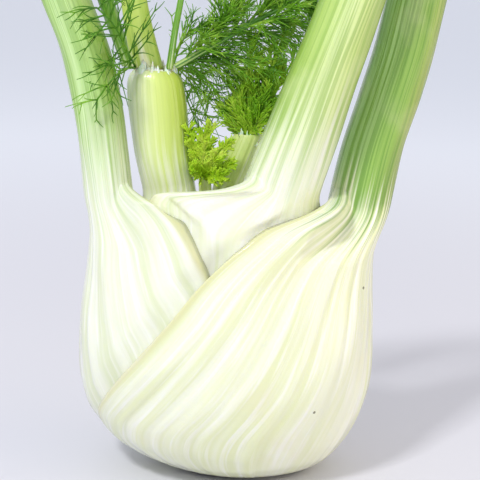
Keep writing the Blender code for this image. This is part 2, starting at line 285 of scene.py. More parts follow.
# %% Push the ribs out of the surface
RIB_DEPTH = 0.5  # mm
STRAND_WAVES = np.array([0.21, 0.34, 0.5, 0.71])  # per strand of the leaf: fine ribs
BROAD_WAVES = np.array([1.3, 2.1, 3.4])  # per half leaf: broad folds of the sheath
SWELL_WAVES = np.array([0.8, 1.7])  # per 60 mm of height: slow swellings


def grid_normals(points):
    """Cross product of the two grid directions, made one unit long."""
    return unit(np.cross(np.gradient(points, axis=1), np.gradient(points, axis=0)))


def ribbed(points, across, leaf):
    """Points + normal * depth * (strand + broad + slow waves), fading out at the margins and the foot."""
    z = points[..., 2]
    drift = 0.012 * np.sin(z / 23 + leaf["seed"])
    strands = waves(across + drift, leaf["veins"] * STRAND_WAVES, leaf["seed"])
    broad = waves(across + 0.004 * z, BROAD_WAVES, leaf["seed"] + 1)
    swell = waves(z / 60 + across, SWELL_WAVES, leaf["seed"] + 2)
    fade = smooth_step(1.0, 0.93, np.abs(across)) * smooth_step(0, 10, z)
    strands = (0.3 + 0.7 * smooth_step(100, 55, z)) * strands
    height = RIB_DEPTH * fade * (strands + 1.3 * broad * smooth_step(110, 60, z) + 0.6 * swell)
    return points + leaf["side"] * height[..., None] * grid_normals(points)


print("ribs per leaf:", {name: leaf["veins"] for name, leaf in LEAVES.items()})

# %% [markdown]
# ## A mesh from loops
# The two faces joined edge to edge make closed loops, stacked into a skin. The foot closes with a strip
# from face to face, and the top with rings that shrink to a point, like the round cut of a knife. A UV
# map keeps the leaf's own directions: across the ribs, and up the leaf in decimetres.

# %% Build closed skins
CUT_RINGS = ((0.965, 0.25), (0.92, 0.32), (0.6, 0.15), (0.25, -0.1))  # (share of the loop, lift in mm)
CUT_DIP = 0.15  # mm by which the middle of a cut end lies lower
MAP_HEIGHT = 100  # mm of height to one unit of the map


def faces_of(faces, corner):
    """The index of one corner of every face."""
    return np.array([face[corner] for face in faces])


def ring_quads(rings, columns, joined=False):
    """Quads between neighbouring rings of points; joined also links the last ring to the first."""
    r = np.arange(rings if joined else rings - 1)[:, None]
    c = np.arange(columns)[None, :]
    here, above, after = r * columns, (r + 1) % rings * columns, (c + 1) % columns
    return np.stack([here + c, here + after, above + after, above + c], axis=-1).reshape(-1, 4)


def add_object(name, data):
    """A new object with this data, linked to the scene."""
    thing = bpy.data.objects.new(name, data)
    bpy.context.scene.collection.objects.link(thing)
    return thing


def finish_piece(mesh, name, material):
    """Smooth shading, material, and the piece's place in the frame."""
    mesh.shade_smooth()
    mesh.materials.append(material)
    piece = add_object(name, mesh)
    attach(piece, "root")
    return piece


def close_and_build(name, loops, u, material):
    """Quads between loops, a strip across the first loop, rings and a fan over the last one."""
    columns = loops.shape[1]
    centre = loops[-1].mean(axis=0)
    rings = np.stack([centre + (loops[-1] - centre) * s + np.array([0, 0, lift])
                      for s, lift in CUT_RINGS])
    grid = np.concatenate([loops, rings])
    points = np.concatenate([grid.reshape(-1, 3), centre[None] - [[0, 0, CUT_DIP]]])
    total = len(grid)
    skin = ring_quads(total, columns)
    half = np.arange(columns // 2 - 1)
    mirror = columns - 1 - half
    foot = np.stack([mirror, mirror - 1, half + 1, half], axis=-1)
    tip = total * columns
    last = (total - 1) * columns
    fan = np.stack([last + np.arange(columns), last + (np.arange(columns) + 1) % columns,
                    np.full(columns, tip)], axis=-1)
    faces = np.concatenate([skin, foot]).tolist() + fan.tolist()
    mesh = bpy.data.meshes.new(name)
    mesh.from_pydata((points * MM).tolist(), [], faces)
    v = points[:, 2] / MAP_HEIGHT
    u_all = np.concatenate([np.tile(u, total), [u.mean()]])
    corner = np.zeros(len(mesh.loops), np.int32)
    mesh.loops.foreach_get("vertex_index", corner)
    layer = mesh.uv_layers.new(name="leaf_map")
    pairs = np.stack([u_all[corner], v[corner]], axis=-1)
    layer.data.foreach_set("uv", pairs.astype(np.float32).ravel())
    signed = np.einsum("ij,ij->i", points[faces_of(faces, 0)],
                       np.cross(points[faces_of(faces, 1)], points[faces_of(faces, 2)])).sum()
    if signed < 0:
        mesh.flip_normals()
    return finish_piece(mesh, name, material)


print("a cut end closes with", len(CUT_RINGS), "rings and a fan")

# %% [markdown]
# ## Shader helpers
# Every material is a Principled shader fed by patterns. One small function adds a node with its settings
# and links, and another turns an sRGB hex colour to the linear numbers that the shader needs.

# %% Colours and nodes


def linear(hex_colour):
    """sRGB to linear: c / 12.92 in the darks, ((c + 0.055) / 1.055)^2.4 above."""
    parts = [int(hex_colour[i:i + 2], 16) / 255 for i in (1, 3, 5)]
    return tuple(c / 12.92 if c <= 0.04045 else ((c + 0.055) / 1.055) ** 2.4 for c in parts) + (1.0,)


def add_node(tree, kind, settings=None, inputs=None, links=None):
    """A node of this kind, with its settings, its input values, and links (input: output socket)."""
    node = tree.nodes.new(kind)
    for key, value in (settings or {}).items():
        setattr(node, key, value)
    for key, value in (inputs or {}).items():
        node.inputs[key].default_value = value
    for key, socket in (links or {}).items():
        tree.links.new(socket, node.inputs[key])
    return node


def new_material(name, shader_inputs):
    """(material, tree, shader, object coordinates) of a Principled material with these inputs."""
    material = bpy.data.materials.new(name)
    material.use_nodes = True
    shader = material.node_tree.nodes["Principled BSDF"]
    for key, value in shader_inputs.items():
        shader.inputs[key].default_value = value
    place = add_node(material.node_tree, "ShaderNodeTexCoord").outputs["Object"]
    return material, material.node_tree, shader, place


def ramp(tree, factor, stops):
    """A colour ramp node with stops (position, hex colour)."""
    node = add_node(tree, "ShaderNodeValToRGB", links={"Fac": factor})
    elements = node.color_ramp.elements
    while len(elements) < len(stops):
        elements.new(0.5)
    for element, (position, colour) in zip(elements, stops):
        element.position = position
        element.color = linear(colour)
    return node.outputs["Color"]


def feed(tree, socket, value):
    """Link another socket to this one, or set it to a number or a hex colour."""
    if isinstance(value, bpy.types.NodeSocket):
        tree.links.new(value, socket)
    else:
        socket.default_value = linear(value) if isinstance(value, str) else value


def mix(tree, factor, first, second):
    """Mix two colours by a factor: (1 - factor) * first + factor * second."""
    node = add_node(tree, "ShaderNodeMix", {"data_type": "RGBA"})
    for index, value in ((0, factor), (6, first), (7, second)):
        feed(tree, node.inputs[index], value)
    return node.outputs[2]


def calculate(tree, operation, first, second=0.0):
    """One arithmetic step on sockets or numbers."""
    node = add_node(tree, "ShaderNodeMath", {"operation": operation})
    feed(tree, node.inputs[0], first)
    feed(tree, node.inputs[1], second)
    return node.outputs[0]


def raise_relief(tree, shader, height, strength, depth):
    """Shade the surface as if the height pattern stood up by this depth in metres."""
    bump = add_node(tree, "ShaderNodeBump", inputs={"Strength": strength, "Distance": depth},
                    links={"Height": height})
    tree.links.new(bump.outputs["Normal"], shader.inputs["Normal"])


def spread(tree, value, low, high, most=1.0):
    """Smoothly 0 at low to the given most at high."""
    node = add_node(tree, "ShaderNodeMapRange", {"interpolation_type": "SMOOTHSTEP"},
                    {"From Min": low, "From Max": high, "To Max": most}, {"Value": value})
    return node.outputs["Result"]


print("white in linear light:", linear("#FFFFFF"))

# %% [markdown]
# ## Fennel skin
# The skin is waxy and moist: soft highlights over flesh that lets light in a little. All its patterns
# run along the leaf, so they read the leaf's own UV map and follow the ribs round every curve. Each
# starts as a noise drawn out lengthwise, like the strands under the skin.

# %% Streaks along a leaf
WAXY_SKIN = {"IOR": 1.42, "Subsurface Weight": 0.22, "Subsurface Scale": 0.004,
             "Subsurface Radius": (1.0, 0.9, 0.4), "Coat Weight": 0.7, "Coat Roughness": 0.09}
STREAK_SHIFT = (3.7, 1.3)  # each seed reads the noise at another place


def streaks(tree, uv, count, stretch, detail, seed):
    """Noise drawn out along the leaf: count spots across it, stretch spots per decimetre up it."""
    shift = (seed * STREAK_SHIFT[0], seed * STREAK_SHIFT[1], 0.0)
    along = add_node(tree, "ShaderNodeMapping", links={"Vector": uv},
                     inputs={"Scale": (count, stretch, 1.0), "Location": shift})
    return add_node(tree, "ShaderNodeTexNoise", {"noise_dimensions": "2D"},
                    {"Scale": 1.0, "Detail": detail, "Roughness": 0.6},
                    {"Vector": along.outputs["Vector"]}).outputs["Fac"]


print("skin coat:", WAXY_SKIN["Coat Weight"])

# %% [markdown]
# ## Colours of sheath and stalk
# The sheath is blanched: nearly white, with cream and pure white strands. The stalk had light, so it is
# green, in another green on each side, partly its own colour and partly painted light and shade, with
# darker stripes about a millimetre wide. Between the two the green starts raggedly, stripe by stripe.

# %% Sheath and stalk colours
WHITE_STRAND = "#FDFDF8"
RAGGED = 0.05  # m over which noise moves the start of the green up and down
RAGGED_MEAN = 25  # mm, its mean, so that a leaf's green starts where its numbers say
LATE_SIDE = (0.26, 0.42)  # part of the map, towards the front margin, with a later start


def sheath_colour(tree, broad, fine, pale, vein):
    """Pale skin with cream broad streaks and white fine ones."""
    colour = mix(tree, spread(tree, broad, 0.36, 0.7, 0.6), pale, vein)
    return mix(tree, spread(tree, fine, 0.48, 0.75, 0.6), colour, WHITE_STRAND)


def stalk_colour(tree, side, broad, ragged, green, stripe, striping):
    """Greens in even steps from the stalk's outer side to its inner one, under two sets of stripes; these
    greens are partly the stalk's own and partly painted light and shade.
    """
    round_stalk_for_painted_shade = calculate(tree, "MULTIPLY", calculate(tree, "ABSOLUTE", side), 2.0)
    colour = ramp(tree, round_stalk_for_painted_shade, list(zip(np.linspace(0, 1, len(green)).tolist(), green)))
    colour = mix(tree, spread(tree, broad, 0.4, 0.66, striping * 0.5), colour, stripe)
    return mix(tree, spread(tree, ragged, 0.48, 0.58, striping), colour, stripe)


def greening(tree, height, side, ragged, low, high, late_margin):
    """0 below low, 1 above high, moved by the ragged noise, and later by so much near the margin."""
    start = calculate(tree, "ADD", height, spread(tree, side, *LATE_SIDE, -late_margin * MM))
    start = calculate(tree, "ADD", start, calculate(tree, "MULTIPLY", ragged, RAGGED))
    return spread(tree, start, (low + RAGGED_MEAN) * MM, (high + RAGGED_MEAN) * MM)


print("strand white:", WHITE_STRAND)

# %% [markdown]
# ## Margin lines and pores
# A real bulb is never clean white. A thin tan line runs along each free front margin, and small dark
# pores and nicks lie here and there. Both are weak, but without them the skin looks like plastic.

# %% Tan margin lines and dark pores
TAN_MARGIN_LINE, PORE_BROWN = "#CDC98A", "#5A5A34"
MARGIN_BAND, MARGIN_END = (0.478, 0.497), 0.51  # the free margin lies at a half on the map
MARGIN_TOP = (0.106, 0.094)  # m, above this there is no free margin
PORE_COUNT, PORE_SIZE, PORE_RARITY = 75.0, 0.04, 0.72  # per metre, share of a cell, share left out


def free_margin(tree, side, height):
    """1 along the front margin of the sheath, 0 elsewhere."""
    edge = calculate(tree, "MULTIPLY", spread(tree, side, *MARGIN_BAND, 0.55),
                     calculate(tree, "LESS_THAN", side, MARGIN_END))
    return calculate(tree, "MULTIPLY", edge, spread(tree, height, *MARGIN_TOP))


def dark_pores(tree, place):
    """Dots in the middle of a few of the cells of a Voronoi pattern."""
    cells = add_node(tree, "ShaderNodeTexVoronoi", inputs={"Scale": PORE_COUNT}, links={"Vector": place})
    rare = add_node(tree, "ShaderNodeSeparateXYZ", links={"Vector": cells.outputs["Color"]}).outputs["X"]
    dot = calculate(tree, "MULTIPLY", calculate(tree, "LESS_THAN", cells.outputs["Distance"], PORE_SIZE),
                    calculate(tree, "GREATER_THAN", rare, PORE_RARITY))
    return calculate(tree, "MULTIPLY", dot, 0.85)


print("pores per metre:", PORE_COUNT)

# %% [markdown]
# ## The finished skin
# One function joins the colours and adds the last two things that the eye reads as plant: a wax film that
# is duller in places, and a fine relief of strands and cells.

# %% Material of one leaf: waxy plant skin
DULLNESS = {"To Min": 0.24, "To Max": 0.42}
GRAIN_COUNT = 1400.0  # skin cells per metre


def waxy_relief(tree, shader, place, blotch, fine):
    """Roughness by the slow blotches, and a bump from the fine streaks and the grain of the cells."""
    rough = add_node(tree, "ShaderNodeMapRange", inputs=DULLNESS, links={"Value": blotch})
    tree.links.new(rough.outputs["Result"], shader.inputs["Roughness"])
    grain = add_node(tree, "ShaderNodeTexNoise", inputs={"Scale": GRAIN_COUNT, "Detail": 2.0},
                     links={"Vector": place}).outputs["Fac"]
    relief = calculate(tree, "ADD", fine, calculate(tree, "MULTIPLY", grain, 0.25))
    raise_relief(tree, shader, relief, 0.5, 0.0004)


def skin_material(name, leaf, green_from, green_to, pale, green, stripe, vein, shade, striping,
                  late_margin=0):
    """Waxy skin: white sheath below, striped green stalk above, tan margin lines and a few dark pores."""
    material, tree, shader, place = new_material(name, WAXY_SKIN)
    uv = add_node(tree, "ShaderNodeUVMap", {"uv_map": "leaf_map"}).outputs["UV"]
    side = add_node(tree, "ShaderNodeSeparateXYZ", links={"Vector": uv}).outputs["X"]
    height = add_node(tree, "ShaderNodeSeparateXYZ", links={"Vector": place}).outputs["Z"]
    fine = streaks(tree, uv, leaf["veins"] * 1.9, 2.6, 2.5, leaf["seed"])
    broad = streaks(tree, uv, leaf["veins"] * 0.75, 1.3, 2.0, leaf["seed"] + 1)
    ragged = streaks(tree, uv, leaf["veins"] * 1.1, 0.8, 2.0, leaf["seed"] + 2)
    blotch = add_node(tree, "ShaderNodeTexNoise", inputs={"Scale": 42.0, "Detail": 3.0},
                      links={"Vector": place}).outputs["Fac"]
    colour = mix(tree, greening(tree, height, side, ragged, green_from, green_to, late_margin),
                 sheath_colour(tree, broad, fine, pale, vein),
                 stalk_colour(tree, side, broad, ragged, green, stripe, striping))
    colour = mix(tree, spread(tree, blotch, 0.5, 0.75, 0.25), colour, shade)
    # a thin darker tan line along the free front margin of each sheath, below the lip
    colour = mix(tree, free_margin(tree, side, height), colour, TAN_MARGIN_LINE)
    colour = mix(tree, dark_pores(tree, place), colour, PORE_BROWN)
    tree.links.new(colour, shader.inputs["Base Color"])
    waxy_relief(tree, shader, place, blotch, fine)
    return material


print("skin material ready")

# %% [markdown]
# ## Each leaf's colours
# The outer leaves had the most light, so their stalks are the greenest, and the heart is yellow-green all
# over. Heights in millimetres say between where and where a leaf turns green.

# %% Colours of the five leaves
# green: the greens round each stalk, partly its own colour and partly painted light and shade; the inner
# left stalk's first green is painted paler where that side lies in shade
SKINS = {
    "outer_right_leaf": dict(
        green_from=84, green_to=103, late_margin=8, pale="#F0F3DA", vein="#DDE4A6", shade="#E8E0BC",
        green=("#AEA44C", "#A2B44E", "#94BA4E", "#9CC45C", "#A8CE7A", "#B6D99E"),
        stripe="#6C9A30", striping=0.65),
    "outer_left_leaf": dict(
        green_from=88, green_to=134, pale="#EEF1DE", vein="#D3DDA9", shade="#DCDDBE",
        green=("#8FB350", "#A9CE6C", "#CBE8A0", "#C4E690", "#9CC452", "#83AA38"),
        stripe="#7DAA3A", striping=0.5),
    "inner_right_leaf": dict(
        green_from=96, green_to=142, pale="#F3F5E2", vein="#E2EBBC", shade="#EAEDC0",
        green=("#94A648", "#B4C868", "#D2E48E", "#E2F0AE", "#BFD97A", "#9CBF50"),
        stripe="#8DB548", striping=0.55),
    "inner_left_leaf": dict(
        green_from=92, green_to=120, pale="#F0F3DC", vein="#DFEAB2", shade="#DCE6AC",
        green=("#E6F0CE", "#F4F9E6", "#EDF5C6", "#DAE98A", "#C4D85C", "#ACC23C"),
        stripe="#C6D870", striping=0.35),
    "heart_right_leaf": dict(
        green_from=92, green_to=108, pale="#EBF1BE", vein="#DEE9A6", shade="#D6E490",
        green=("#D6E68A", "#DDEB98", "#E2EEA4", "#D4E484"), stripe="#B4CC54", striping=0.4),
}
print("greens of the thick stalk:", SKINS["inner_right_leaf"]["green"])

# %% [markdown]
# ## Grow the leaves
# With outline, nesting, ribs and skin in place, one loop makes all leaves. Each stands for the plain
# solid of the same name.

# %% Make the five leaves
for number, (name, leaf) in enumerate(LEAVES.items()):
    outer, inner, across = leaf_faces(number, leaf)
    outer = ribbed(outer, across, leaf)
    loops = np.concatenate([outer, inner[:, ::-1]], axis=1)
    u = np.concatenate([across[0], 2 - across[0][::-1]]) / 2
    look = skin_material(name + "_waxy_skin", leaf, **SKINS[name])
    piece = close_and_build(name + "_skin", loops, u, look)
    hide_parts(name)
    print(name, "faces:", len(piece.data.polygons))

# %% [markdown]
# ## The youngest leaf
# In the heart the last leaf is still folded shut, so it has no hollow. It starts as a full oval that fits
# inside all the others and is drawn slowly into a thin stem.

# %% Make the youngest leaf
HEART_ROOM = 0.05  # clear space about it, as a share of the bulb's half width


def heart_faces(leaf):
    """Full ovals from the middle of the nest, drawn slowly into a thin stem."""
    z = leaf_heights(leaf)
    half_turn = np.linspace(-math.pi / 2, math.pi / 2, leaf["columns"])[None, :]
    turned = smooth_step(*leaf["turn"], z)[..., None]
    sides = []
    for turn in (half_turn, math.pi - half_turn):
        nest = outline(-turn, outer_share(len(LEAVES), -turn, z) - HEART_ROOM, z)
        sides.append(nest + turned * (stalk_outline(leaf, turn, z) - nest))
    return sides[0], sides[1], half_turn / (math.pi / 2)


outer, inner, across = heart_faces(HEART)
loops = np.concatenate([outer, inner[:, ::-1][:, 1:-1]], axis=1)
u = np.concatenate([across[0], 2 - across[0][::-1][1:-1]]) / 2
heart_skin = dict(SKINS["heart_right_leaf"], green_from=85, green_to=98)
look = skin_material("youngest_leaf_waxy_skin", HEART, **heart_skin)
piece = close_and_build("youngest_leaf_skin", loops, u, look)
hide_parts("youngest_leaf")
print("youngest leaf faces:", len(piece.data.polygons))

# %% [markdown]
# ## The cut stem
# Underneath, the bulb stands on the stem it was cut from. The plain solid already has that shape, so it
# stays and only gets its finish: dry cut tissue, tan at the rim with paler pith inside.

# %% Material: dry cut stem
PITH, RIND = ("#D8C998", "#EFE6C4"), ("#A88A55", "#D2BE86")
RIM = (0.008, 0.018)  # m from the middle, from pith to rind
material, tree, shader, place = new_material("dry_cut_stem", {
    "Roughness": 0.72, "Subsurface Weight": 0.1, "Subsurface Scale": 0.002})
fibre = add_node(tree, "ShaderNodeTexNoise", inputs={"Scale": 260.0, "Detail": 5.0, "Roughness": 0.65},
                 links={"Vector": place}).outputs["Fac"]
middle = add_node(tree, "ShaderNodeVectorMath", {"operation": "LENGTH"},
                  links={0: place}).outputs["Value"]
pith, rind = (ramp(tree, fibre, [(0.3, dark), (0.7, light)]) for dark, light in (PITH, RIND))
tree.links.new(mix(tree, spread(tree, middle, *RIM), pith, rind), shader.inputs["Base Color"])
raise_relief(tree, shader, fibre, 0.5, 0.0005)
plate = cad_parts["trimmed_stem_plate"]
plate.data.materials.clear()
plate.data.materials.append(material)
print("stem plate faces:", len(plate.data.polygons))

# %% [markdown]
# ## Leaf stems
# From the torn collar of the inner left stalk spring thin stems that carry the feathery leaves. Each is
# an oval carried along a smooth path, the same path that the measured model uses. They have the waxy skin
# of the stalks, greener than any of them.

# %% Stems from the collar
STEMS = {
    "strap_stem": dict(path=[(-37, 3.4, 140.9), (-39.5, 2.6, 151), (-42, 2, 164), (-44, 1.6, 184)],
                       start=(5.4, 2.6), end=(3.4, 1.8)),
    "left_side_stem": dict(path=[(-44.0, 7.0, 140.9), (-47.5, 9.0, 150), (-52.5, 11, 163),
                                 (-58, 12, 180)],
                           start=(2.2, 1.8), end=(3.4, 2.0)),
    "front_side_stem": dict(path=[(-29.4, 1.0, 140.9), (-27.6, -1.5, 154), (-25.8, -4, 164),
                                  (-23.5, -6, 182)], start=(1.2, 1.2), end=(0.9, 0.9)),
    "right_side_stem": dict(path=[(-28.4, 7.6, 140.9), (-14, 11.5, 149.6), (-2.4, 14, 156.7),
                                  (10.8, 16, 163.8), (26, 18, 171)], start=(2.4, 1.6), end=(1.6, 1.2)),
}
STEM_SKINS = {
    "strap_stem": dict(pale="#E9EDB4", green=("#D8E68E", "#C6DA6C"), stripe="#A4C23E"),
    "left_side_stem": dict(pale="#A9C66A", green=("#86B048", "#6F9F32"), stripe="#4E8420"),
    "front_side_stem": dict(pale="#B9D272", green=("#8DB94A", "#7DB239"), stripe="#5B9526"),
    "right_side_stem": dict(pale="#B6CE72", green=("#74A636", "#5E9A2B"), stripe="#417A1B"),
}
STEM_VEINS, STEM_STRIPING = 9, 0.6
STEM_GREENING = (138, 146)  # mm, the heights over which a stem turns green
RIDGES, RIDGE_DEPTH = 9, 0.035  # ridges round a stem, and their share of its half width


def stem_loops(stem, rows=60, columns=28):
    """Ovals about a smooth path, narrowing from start to end, with fine ridges round them."""
    path = np.array(stem["path"], float)
    z = np.linspace(path[0, 2], path[-1, 2], rows)
    route = [(p[2], p[0], p[1]) for p in path]
    along = np.linspace(0, 1, rows)[:, None]
    turn = np.linspace(0, math.tau, columns, endpoint=False)[None, :]
    ridge = 1 + RIDGE_DEPTH * np.cos(RIDGES * turn)
    half = stem["start"][0] + (stem["end"][0] - stem["start"][0]) * along
    deep = stem["start"][1] + (stem["end"][1] - stem["start"][1]) * along
    x = follow(route, z)[:, None] + half * ridge * np.cos(turn)
    y = follow(route, z, 2)[:, None] + deep * ridge * np.sin(turn)
    return np.stack([x, y, z[:, None] + 0 * x], axis=-1), turn[0] / math.tau


for number, (name, stem) in enumerate(STEMS.items()):
    loops, u = stem_loops(stem)
    colours = STEM_SKINS[name]
    look = skin_material(name + "_waxy_skin", dict(veins=STEM_VEINS, seed=20 + number), *STEM_GREENING,
                         vein=colours["pale"], shade=colours["green"][0], striping=STEM_STRIPING,
                         **colours)
    piece = close_and_build(name + "_skin", loops, u, look)
    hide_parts(name)
    print(name, "faces:", len(piece.data.polygons))

# %% [markdown]
# ## Torn collars
# Where the younger leaf stems were pulled away, the stalk ends in a thin, dry, ragged rim. It is a wall
# about the stalk's end whose top edge is cut by several waves, so that no two teeth are the same. Its
# finish is skin that has dried out: nearly white, tan in places, and without any wax.

# %% Torn collars on two stalks
COARSE_TEETH, FINE_TEETH = np.array([3, 7, 13, 23]), np.array([31, 41])  # teeth round the rim
LEAN_WAVES = np.array([5, 9])
COLLAR_WALL = 0.07  # thickness, as a share of the rim's half width


def torn_collar(centre, half, deep, low, high, columns=96, rows=14):
    """A thin ragged wall round a stalk's end: an oval, its top edge cut by waves, leaning inwards."""
    turn = np.linspace(0, math.tau, columns, endpoint=False)[None, :]
    around = turn / math.tau
    teeth = waves(around, COARSE_TEETH, 91) + 0.5 * waves(around, FINE_TEETH, 92)
    up = np.linspace(0, 1, rows)[:, None]
    z = low + (high - low) * up * (0.55 + 0.45 * teeth)
    lean = 1 - 0.30 * up ** 1.5 + 0.03 * up * waves(around, LEAN_WAVES, 93)
    wall = []
    for inset in (0.0, COLLAR_WALL):
        x = centre[0] + half * (lean - inset) * np.cos(turn)
        y = centre[1] + deep * (lean - inset) * np.sin(turn)
        wall.append(np.stack([x, y, z], axis=-1))
    return np.concatenate([wall[0], wall[1][::-1]])


def build_collar(name, collar, material):
    """Join the outer and the inner face of the wall at its top and its foot."""
    faces = ring_quads(*collar.shape[:2], joined=True)
    mesh = bpy.data.meshes.new(name)
    mesh.from_pydata((collar.reshape(-1, 3) * MM).tolist(), [], faces.tolist())
    print(name, "faces:", len(faces))
    return finish_piece(mesh, name, material)


dry_rim, tree, shader, place = new_material("dry_torn_skin", {
    "Roughness": 0.6, "Subsurface Weight": 0.3, "Subsurface Scale": 0.002})
torn = add_node(tree, "ShaderNodeTexNoise", inputs={"Scale": 600.0, "Detail": 4.0},
                links={"Vector": place}).outputs["Fac"]
dried = ramp(tree, torn, [(0.32, "#C9BC86"), (0.45, "#EDEFD2"), (0.7, "#FBFBF0")])
tree.links.new(dried, shader.inputs["Base Color"])
raise_relief(tree, shader, torn, 0.6, 0.0004)
build_collar("inner_left_collar", torn_collar((-34.5, 4.0), 8.2, 6.2, 138.0, 144.5), dry_rim)
build_collar("heart_collar", torn_collar((-1.7, 13.0), 5.3, 4.2, 114.5, 121.0), dry_rim)

# %% [markdown]
# ## Feathery leaves
# A fennel leaf divides again and again, into threads half a millimetre thick. The same rule makes each
# level: along every curve of the last level grow pairs of side curves, a little shorter towards the tip,
# bent and turned at random. Whole levels are arrays of curves, so thousands of threads take one step.

# %% Branching curves
CURVE_STEPS = 6  # points on each side curve
LAST_PAIR = 0.97  # the last side curves leave the parent here
SIDE_PLANE = np.array([0.1, -1.0, 0.15])  # side curves mostly spread square to this direction
UNEVEN = (0.7, 1.25)  # side curves are this much shorter or longer than the rule


def grow(curves, pairs, length, angle, droop, seed, wobble=0.35, first=0.12):
    """Side curves: start on the parent, leave at an angle to it, bend by droop, shorter at the tip."""
    random = np.random.default_rng(seed)
    count, steps = curves.shape[:2]
    where = np.linspace(first, LAST_PAIR, pairs)
    where = np.repeat(where, 2)[None, :] + random.uniform(-0.03, 0.03, (count, 2 * pairs))
    index = np.clip(where, 0, 0.999) * (steps - 1)
    low = index.astype(int)
    part = (index - low)[..., None]
    rows = np.arange(count)[:, None]
    start = curves[rows, low] * (1 - part) + curves[rows, low + 1] * part
    ahead = unit(curves[rows, low + 1] - curves[rows, low])
    aside = unit(np.cross(ahead, random.normal(size=(count, 1, 3)) * 0.6 + SIDE_PLANE))
    sign = np.tile([1.0, -1.0], pairs)[None, :, None]
    tilt = np.radians(angle) * (1 + wobble * random.uniform(-1, 1, (count, 2 * pairs, 1)))
    heading = ahead * np.cos(tilt) + sign * aside * np.sin(tilt)
    heading = unit(heading + wobble * random.normal(size=heading.shape) * 0.5)
    size = length * (1.05 - 0.6 * where) * random.uniform(*UNEVEN, where.shape)
    bend = random.normal(size=heading.shape) * wobble + np.array([0, 0, -1.0]) * droop
    t = np.linspace(0, 1, CURVE_STEPS)[None, None, :, None]
    course = heading[:, :, None] * t + 0.5 * bend[:, :, None] * t**2
    curve = start[:, :, None] + size[..., None, None] * course
    return curve.reshape(-1, CURVE_STEPS, 3)


def resample(points, steps):
    """A smooth curve through points (x, y, z), read at equal steps of its own order."""
    points = np.array(points, float)
    keys = np.arange(len(points))
    at = np.linspace(0, len(points) - 1, steps)
    return np.stack([follow(np.stack([keys, points[:, k]], axis=-1), at) for k in range(3)], axis=-1)


one_twig = resample([(0, 0, 0), (0, 0, 10)], CURVE_STEPS)[None]
print("one twig grows:", grow(one_twig, 5, 4, 40, 0.1, 1).shape[0], "threads")

# %% [markdown]
# ## Threads with a body
# A thread is a thin tube: four points about each point of its curve, narrower towards the tip. Four sides
# are enough at half a millimetre. The ends are closed, so each thread is a solid like the real one. The
# threads bend over below the height of the cut stalks, so the leaf never stands taller than they do.

# %% Threads as thin tubes
STEEP = 0.8  # a curve steeper than this needs another helper direction
TOP_BAND, TOP_ROOM = 174, 11  # above this height the threads bend over, within this much room (mm)


def tubes(curves, start_radius, end_radius, sides=4):
    """Rings of a few points about each curve, joined by quads, each end closed by a flat face."""
    count, steps = curves.shape[:2]
    ahead = unit(np.gradient(curves, axis=1))
    helper = np.where(np.abs(ahead[..., 2:3]) > STEEP, [[[1.0, 0, 0]]], [[[0, 0, 1.0]]])
    right = unit(np.cross(ahead, helper))
    up = np.cross(right, ahead)
    turn = np.linspace(0, math.tau, sides, endpoint=False)[None, None, :, None]
    radius = np.linspace(start_radius, end_radius, steps)[None, :, None, None]
    ring = right[:, :, None] * np.cos(turn) + up[:, :, None] * np.sin(turn)
    points = (curves[:, :, None] + ring * radius).reshape(-1, 3)
    ends = np.arange(count)[:, None] * steps * sides
    walls = ring_quads(steps, sides)[None] + ends[..., None]
    foot = ends + np.arange(sides)[::-1][None, :]
    tip = ends + (steps - 1) * sides + np.arange(sides)[None, :]
    return points, walls.reshape(-1, 4)[:, ::-1], np.concatenate([foot, tip])[:, ::-1]


def build_threads(name, layers, material):
    """One mesh from (curves, start radius, end radius) layers, kept lower than the cut stalks."""
    points, faces, offset = [], [], 0
    for curves, start_radius, end_radius in layers:
        p, walls, caps = tubes(curves, start_radius, end_radius)
        points.append(p)
        faces += (walls + offset).tolist() + (caps + offset).tolist()
        offset += len(p)
    points = np.concatenate(points)
    over = points[:, 2] - TOP_BAND
    points[:, 2] = np.where(over > 0, TOP_BAND + TOP_ROOM * np.tanh(over / TOP_ROOM), points[:, 2])
    mesh = bpy.data.meshes.new(name)
    mesh.from_pydata((points * MM).tolist(), [], faces)
    piece = finish_piece(mesh, name, material)
    print(name, "faces:", len(faces), "top at", round(float(points[:, 2].max()), 1), "mm")
    return piece


print("threads end below", TOP_BAND + TOP_ROOM, "mm")

# %% [markdown]
# ## Leaf thread finish
# The threads are thin leaf tissue: matt, slightly see-through, dark green where old and bright lime
# where young. A slow pattern in space varies the green from thread to thread.

# %% Material: feathery leaf


def thread_material(name, dark, middle, light):
    """Soft green tissue, three greens by a slow noise, with a little light passing through."""
    material, tree, shader, place = new_material(name, {
        "Roughness": 0.48, "IOR": 1.42, "Subsurface Weight": 0.25, "Subsurface Scale": 0.0008,
        "Subsurface Radius": (0.6, 1.0, 0.2)})
    slow = add_node(tree, "ShaderNodeTexNoise", inputs={"Scale": 130.0, "Detail": 3.0},
                    links={"Vector": place}).outputs["Fac"]
    greens = ramp(tree, slow, [(0.33, dark), (0.5, middle), (0.67, light)])
    tree.links.new(greens, shader.inputs["Base Color"])
    return material


OLD_GREEN = thread_material("old_thread_leaf", "#3A6B12", "#4F8818", "#7DB02E")
GROWN_GREEN = thread_material("grown_thread_leaf", "#4E8416", "#6DA41E", "#9AC440")
MID_GREEN = thread_material("tuft_thread_leaf", "#6AA010", "#8EBE1E", "#B2D640")
YOUNG_GREEN = thread_material("young_thread_leaf", "#94C010", "#B0D628", "#CCE754")
print("four greens:", ", ".join(green.name for green in (OLD_GREEN, GROWN_GREEN, MID_GREEN, YOUNG_GREEN)))

# %% [markdown]
# ## The leaf over the top
# The longest leaf lies along the right side stem and spreads to both sides of it. It divides three times:
# twigs, sprigs and threads. It has no solid of its own in the measured model, where the stem stands for
# it, so it is added to the others.

